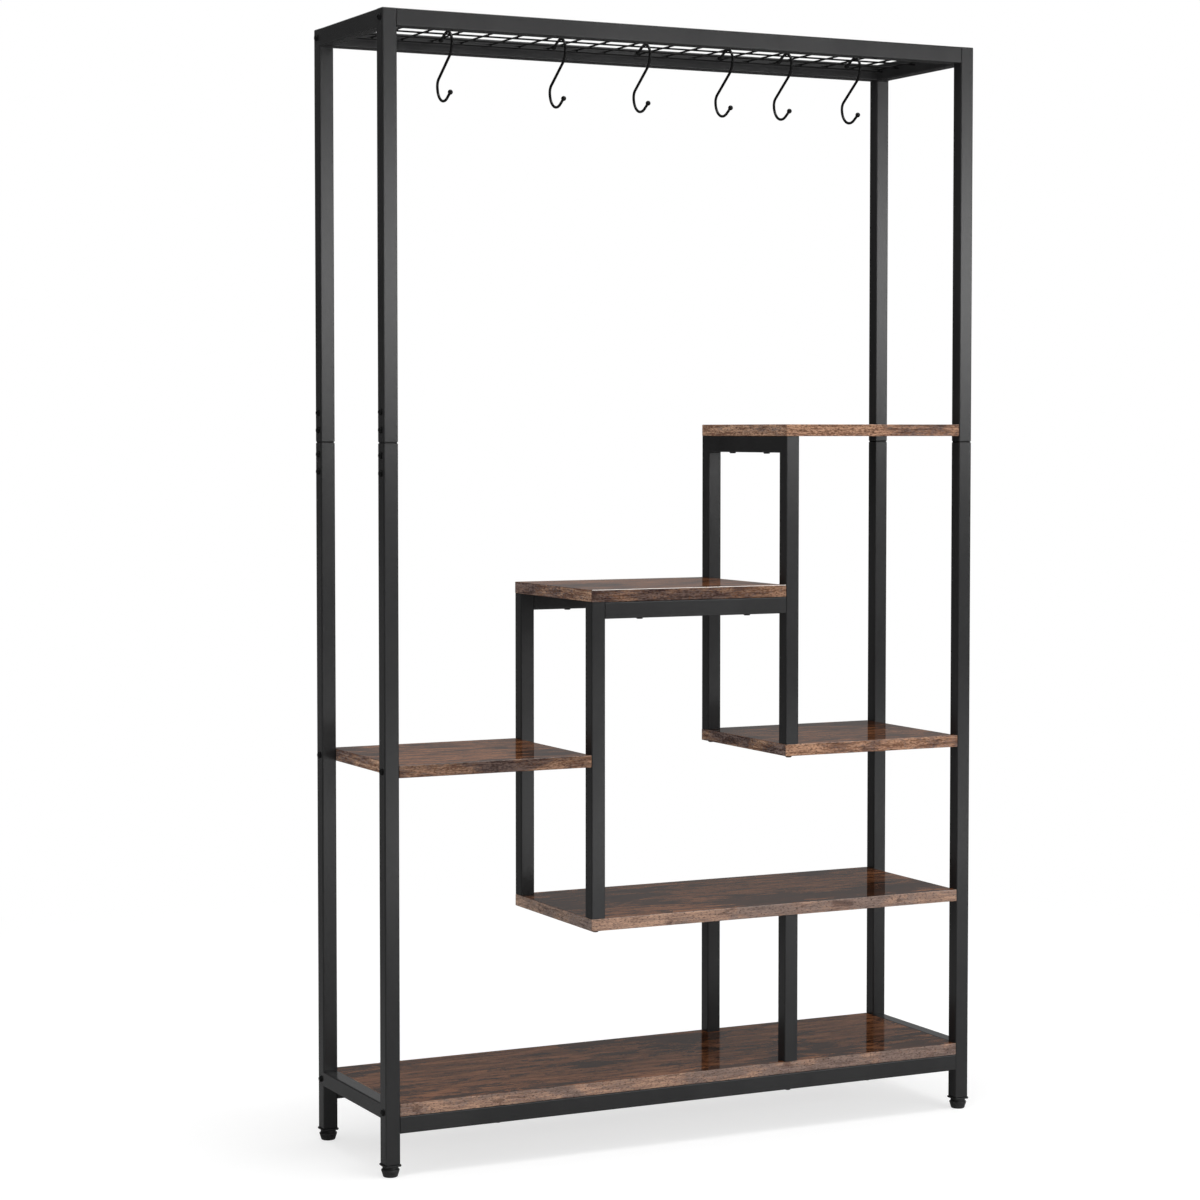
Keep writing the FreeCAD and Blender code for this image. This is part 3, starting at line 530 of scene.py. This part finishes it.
firstPad = footPad(padLook)
firstStud = threadedStud(studLook)
feet = [f"{side}_{end}_foot" for side in ("left", "right") for end in ("front", "rear")]
for body in feet:
    pad = copied(firstPad, body + "Pad", middle(body + "_pad"))
    completed(pad, padNylon, body)
    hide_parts(body + "_pad")
    stud = copied(firstStud, body + "Stud", middle(body + "_stud"))
    completed(stud, finishes["zinc_steel"], body, studLook["sharp"])
    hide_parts(body + "_stud")
alone()
firstPad.select_set(True)
firstStud.select_set(True)
bpy.ops.object.delete()
print("feet made")

# wire grid: a weld nugget at every crossing and a bead where each cross wire meets the long rails
gridLook = {"wire": 0.003, "drop": 0.0125, "middleBay": 0.067, "endGap": 0.0082, "sideGap": 0.017,
            "crossEachSide": 10, "longEachSide": 2,
            "nuggetSides": 12, "nugget": 0.0019, "nuggetHeight": 0.0018, "nuggetRound": 0.0006,
            "bead": 0.0026, "beadReach": 0.0019, "beadRound": 0.0005}


def gridWelds(look):
    railLow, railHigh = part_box("top_front_rail")
    endX, endY, contact = railHigh[0], -railHigh[1], railHigh[2] - look["drop"]
    crossPitch = (endX - look["middleBay"] / 2 - look["endGap"]) / (look["crossEachSide"] - 1)
    longPitch = (endY - look["sideGap"]) / look["longEachSide"]
    across = {"use_relative_offset": False, "use_constant_offset": True,
              "constant_offset_displace": (crossPitch, 0, 0), "count": look["crossEachSide"]}
    down = {"use_relative_offset": False, "use_constant_offset": True,
            "constant_offset_displace": (0, longPitch, 0), "count": 2 * look["longEachSide"] + 1}

    alone()
    first = (look["middleBay"] / 2, -longPitch * look["longEachSide"], contact)
    bpy.ops.mesh.primitive_cylinder_add(vertices=look["nuggetSides"], radius=look["nugget"],
                                        depth=look["nuggetHeight"], location=first)
    nuggets = begun("gridNuggets")
    bpy.ops.object.mode_set(mode="EDIT")
    pick(nuggets, "EDGE", lambda edge: level(edge, edge.verts[0].co.z))
    bevel(look["nuggetRound"], 1)
    bpy.ops.object.mode_set(mode="OBJECT")
    applied(nuggets, "ARRAY", across)
    applied(nuggets, "ARRAY", down)
    applied(nuggets, "MIRROR", {"use_axis": (True, False, False)})

    alone()
    first = (look["middleBay"] / 2, -endY + look["beadReach"] / 2, contact + look["wire"] / 2)
    bpy.ops.mesh.primitive_cone_add(vertices=look["nuggetSides"], radius1=look["bead"],
                                    radius2=look["wire"] / 2, depth=look["beadReach"],
                                    rotation=(math.radians(-90), 0, 0), location=first)
    beads = begun("gridBeads")
    bpy.ops.object.mode_set(mode="EDIT")
    pick(beads, "EDGE", lambda edge: all(point.co.y < -endY + making["corner"] for point in edge.verts))
    bevel(look["beadRound"], 2)
    bpy.ops.object.mode_set(mode="OBJECT")
    applied(beads, "ARRAY", across)
    applied(beads, "MIRROR", {"use_axis": (True, True, False)})
    joined([nuggets, beads])
    nuggets.name = "gridWelds"
    return nuggets


completed(gridWelds(gridLook), gridShadedFinish, "frame")
print("grid welded")

# welded joints of the side frames and the riser frame: ground flush on the faces, a bead in the corners
weldLook = {"corner": 0.0022, "cornerShare": 0.97, "ease": 0.0004, "proud": 0.00001, "inset": 0.0012,
            "bead": 0.0021, "beadSides": 16, "beadInset": 0.0026, "ripple": 0.0011, "rippleShare": 0.90,
            "endShare": 0.45}


def flushWeld(look, face, way, end, row, lowest, highest):
    depth = look["corner"]
    inner = face - way * depth
    outer = end + row * depth
    size = (depth + look["proud"], depth + look["ease"], highest - lowest)
    spot = (face - way * (depth - look["proud"]) / 2, end + row * (depth - look["ease"]) / 2,
            (lowest + highest) / 2)
    alone()
    bpy.ops.mesh.primitive_cube_add(size=1, location=spot, scale=size)
    weld = begun("flushWeld")
    bpy.ops.object.mode_set(mode="EDIT")
    pick(weld, "EDGE", lambda edge: all(abs(point.co.x - inner) < making["corner"]
                                        and abs(point.co.y - outer) < making["corner"]
                                        for point in edge.verts))
    bevel(depth * look["cornerShare"], 1)
    bpy.ops.object.mode_set(mode="OBJECT")
    return weld


def cornerBead(look, left, right, end, height):
    alone()
    length = right - left - 2 * look["beadInset"]
    bpy.ops.mesh.primitive_cylinder_add(vertices=look["beadSides"], radius=look["bead"], depth=length,
                                        rotation=(0, math.radians(90), 0),
                                        location=((left + right) / 2, end, height))
    bead = begun("cornerBead")
    start = left + look["beadInset"]
    rings = 2 * round(length / look["ripple"])
    step = length / rings
    bpy.ops.object.mode_set(mode="EDIT")
    pick(bead, "EDGE", lambda edge: abs(edge.verts[0].co.x - edge.verts[1].co.x) > length / 2)
    bpy.ops.mesh.subdivide(number_cuts=rings - 1)
    for count in range(rings + 1):                     # every second ring is drawn in, and both ends more
        share = look["rippleShare"] if count % 2 == 0 else 1.0
        if count in (0, rings):
            share = look["endShare"]
        place = start + step * count
        pick(bead, "VERT", lambda point: abs(point.co.x - place) < step / 4)
        bpy.ops.transform.resize(value=(1, share, share), center_override=(place, end, height))
    bpy.ops.object.mode_set(mode="OBJECT")
    return bead


def frameWelds(look):
    welds = []
    for rail in ("left_lower_side_rail", "left_upper_side_rail", "right_lower_side_rail",
                 "right_upper_side_rail", "riser_top_rail"):
        lowest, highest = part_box(rail)
        foot, head = lowest[2] + look["inset"], highest[2] - look["inset"]
        heights = [lowest[2]] + ([highest[2]] if "lower" in rail else [])
        for end, row in ((lowest[1], -1), (highest[1], 1)):
            for face, way in ((lowest[0], -1), (highest[0], 1)):
                welds.append(flushWeld(look, face, way, end, row, foot, head))
            for height in heights:
                welds.append(cornerBead(look, lowest[0], highest[0], end, height))
    alone()
    joined(welds)
    welds[0].name = "frameWelds"
    return welds[0]


completed(frameWelds(weldLook), finishes["black_tube"], "frame")
print("frame welded")

# pale paper floor that runs out to the white of the studio; distances in metres
floorLook = {"half": 30.0, "tone": 0.90, "bounce": 0.60, "shadowDepth": 0.46, "nearEdge": 0.9,
             "farEdge": 2.6, "lift": 0.56, "dimNear": 1.0, "dimFar": 4.5, "farDim": 0.55,
             "front": -0.35, "rear": -0.05, "rearDim": 0.80,
             "left": -1.0, "middle": -0.2, "farRearDim": 0.17}


def unseen(finish):                           # 0 for the rays that show the white studio, 1 for light
    rays = [finish.node("LightPath", {}, {}, kind) for kind in
            ("Is Camera Ray", "Is Glossy Ray", "Is Transmission Ray")]
    return 1.0 - (rays[0] + rays[1] + rays[2]).within(0.0, 1.0)


def studioPaper(look):
    paper = Finish("studioPaper")
    spot = paper.place((1, 1, 1))
    reach = paper.node("VectorMath", {"operation": "LENGTH"}, {0: spot}, "Value")
    near = reach.within(look["farEdge"], look["nearEdge"]) * look["shadowDepth"]
    away = reach.within(look["dimNear"], look["dimFar"])
    behind = paper.part(spot, "Y").within(look["front"], look["rear"])
    rightward = paper.part(spot, "X").within(look["left"], look["middle"])

    looked = paper.node("LightPath", {}, {}, "Is Camera Ray")
    mirrored = paper.node("LightPath", {}, {}, "Is Glossy Ray")
    rearDim = behind * (look["rearDim"] + away * rightward * look["farRearDim"])
    frontDim = (1.0 - behind) * away * look["farDim"]
    strength = 1.0 + (1.0 - mirrored) * near * look["lift"] - mirrored * (rearDim + frontDim)
    glow = paper.node("Emission", {}, {0: grey(1.0), 1: strength})
    tone = paper.blend(looked, grey(look["bounce"]), grey(look["tone"]))
    plain = paper.node("BsdfDiffuse", {}, {0: tone})
    dull = unseen(paper)
    mixed = paper.node("MixShader", {}, {0: dull + (1.0 - dull) * near, 1: glow, 2: plain})
    paper.node("OutputMaterial", {}, {0: mixed})
    return paper.owner


alone()
bpy.ops.mesh.primitive_plane_add(size=2 * floorLook["half"], location=(0, 0, 0))
floor = bpy.context.active_object
floor.name = "studioFloor"
floor.data.materials.append(studioPaper(floorLook))

# white studio all round, dimmer in reflections to the left and behind
studioLight = {"ambient": 0.50, "leftRange": (-0.05, -0.40), "leftDim": 0.91, "leftClimb": 0.12,
               "climbRange": (0.04, 0.16), "backRange": (0.15, 0.55), "backDim": 0.65}


def studioWorld(look):
    studio = Finish("studioWorld", world=True)
    heading = studio.node("TexCoord", {}, {}, "Generated")
    leftward = studio.part(heading, "X").within(*look["leftRange"])
    backward = studio.part(heading, "Y").within(*look["backRange"])
    climb = studio.part(heading, "Z").within(*look["climbRange"])
    mirrored = studio.node("LightPath", {}, {}, "Is Glossy Ray")
    leftDim = look["leftDim"] - climb * look["leftClimb"]
    kept = (1.0 - leftward * leftDim) * (1.0 - backward * look["backDim"])
    brightness = 1.0 - unseen(studio) * (1.0 - look["ambient"]) - mirrored * (1.0 - kept)
    studio.node("OutputWorld", {}, {0: studio.node("Background", {}, {0: grey(1.0), 1: brightness})})
    return studio.owner


bpy.context.scene.world = studioWorld(studioLight)

lamps = {
    "lowBox": {"at": (1.1, -2.6, 0.10), "aim": (0.4, 0, 1.5), "size": (2.4, 0.5), "watts": 13},
    "overheadBox": {"at": (0.2, -0.6, 4.2), "aim": (0, 0, 0.6), "size": (2.6, 1.6), "watts": 80},
    "sideBox": {"at": (-4.0, -1.6, 2.2), "aim": (0, 0, 1.0), "size": (1.2, 2.0), "watts": 10},
}


def turned(look, front):                      # the turn that points an axis from a place to its aim
    return (Vector(look["aim"]) - Vector(look["at"])).to_track_quat(front, "Y").to_euler()


for name, lamp in lamps.items():
    light = bpy.data.lights.new(name, "AREA")
    light.shape = "RECTANGLE"
    light.size, light.size_y = lamp["size"]
    light.energy = lamp["watts"]
    holder = bpy.data.objects.new(name, light)
    bpy.context.scene.collection.objects.link(holder)
    holder.location = lamp["at"]
    holder.rotation_euler = turned(lamp, "-Z")

# the front softbox: a panel that fades towards its edges
# the camera and the boards' mirror gloss don't see it, and it gives no light behind it
panelLook = {"at": (2.2, -4.2, 1.70), "aim": (0.3, 0, 1.5), "size": (3.37, 0.87), "glow": 9.4,
             "core": 0.42, "edge": 0.5}


def softboxFront(look):
    softbox = Finish("softbox")
    spot = softbox.node("TexCoord", {}, {}, "Object")
    fade = [abs(softbox.part(spot, axis)).within(look["edge"], look["core"]) for axis in ("X", "Y")]
    looked = softbox.node("LightPath", {}, {}, "Is Camera Ray")
    sharp = softbox.node("LightPath", {}, {}, "Is Singular Ray")
    back = softbox.node("NewGeometry", {}, {}, "Backfacing")
    shown = (1.0 - looked) * (1.0 - sharp) * (1.0 - back)
    glow = softbox.node("Emission", {}, {0: grey(1.0), 1: fade[0] * fade[1] * shown * look["glow"]})
    clear = softbox.node("BsdfTransparent", {}, {0: grey(1.0)})
    softbox.node("OutputMaterial", {}, {0: softbox.node("AddShader", {}, {0: glow, 1: clear})})
    return softbox.owner


alone()
bpy.ops.mesh.primitive_plane_add(size=1, location=panelLook["at"])
panel = bpy.context.active_object
panel.name = "frontPanel"
panel.scale = (*panelLook["size"], 1.0)
panel.rotation_euler = turned(panelLook, "Z")
panel.data.materials.append(softboxFront(panelLook))
print("studio lit")
